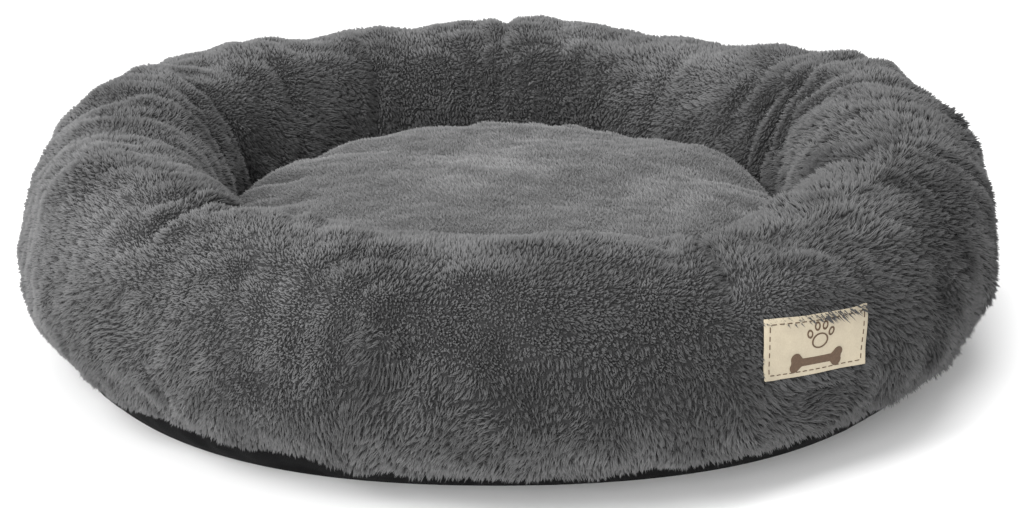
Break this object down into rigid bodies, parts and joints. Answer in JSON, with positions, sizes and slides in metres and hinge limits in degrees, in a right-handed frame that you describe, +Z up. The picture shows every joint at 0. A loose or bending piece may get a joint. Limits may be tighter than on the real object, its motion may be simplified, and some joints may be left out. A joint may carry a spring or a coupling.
{
  "type": "pet cushion bed",
  "caption": "Round pet bed: a stuffed plush ring on a non-slip base, with a loose, crowned plush cushion in its well that lifts out and has a zip.",
  "frame": {"origin": "on the floor, under the middle of the bed", "axes": "+Z up, -Y towards the front; the label is on the front right"},
  "size_m": [0.7, 0.7, 0.15],
  "materials": {
    "ring_plush": "long clumped dark grey plush",
    "cushion_plush": "short mid-grey plush",
    "liner": "thin white non-woven cloth",
    "filling": "white polyester fibre",
    "base_cloth": "black coated non-slip oxford cloth",
    "lining_cloth": "plain grey polyester cloth",
    "label_leather": "cream leatherette, matt",
    "label_thread": "brown thread",
    "label_print": "brown print",
    "zip_tape": "black woven zip tape and nylon coil",
    "zip_metal": "black painted zinc"
  },
  "bodies": {
    "bed": {"ring_cover_front_right": "ring_plush", "ring_cover_right": "ring_plush", "ring_cover_rear": "ring_plush", "ring_cover_left": "ring_plush", "ring_cover_front_left": "ring_plush", "ring_liner": "liner", "ring_fill": "filling", "base_panel": "base_cloth", "base_band": "base_cloth", "well_floor_cloth": "lining_cloth", "label": "label_leather", "label_stitches": "label_thread", "label_motif": "label_print"},
    "cushion": {"cushion_top_cover": "cushion_plush", "cushion_border": "lining_cloth", "cushion_bottom_cover": "lining_cloth", "cushion_liner": "liner", "cushion_fill": "filling", "zip_upper_tape": "zip_tape", "zip_lower_tape": "zip_tape", "zip_stops": "zip_metal"},
    "slider": {"zip_slider": "zip_metal"},
    "pull": {"zip_pull": "zip_metal"}
  },
  "joints": [
    {"name": "cushion_lift", "type": "slide", "parent": "bed", "child": "cushion", "axis": [0, 0, 1], "range_m": [0, 0.2]},
    {"name": "zip_slide", "type": "hinge", "parent": "cushion", "child": "slider", "pos_m": [0, 0, 0.022], "axis": [0, 0, 1], "range_deg": [0, 72]},
    {"name": "pull_swing", "type": "hinge", "parent": "slider", "child": "pull", "pos_m": [0.1128, 0.15525, 0.022], "axis": [0, 0, -1], "range_deg": [0, 170]}
  ]
}
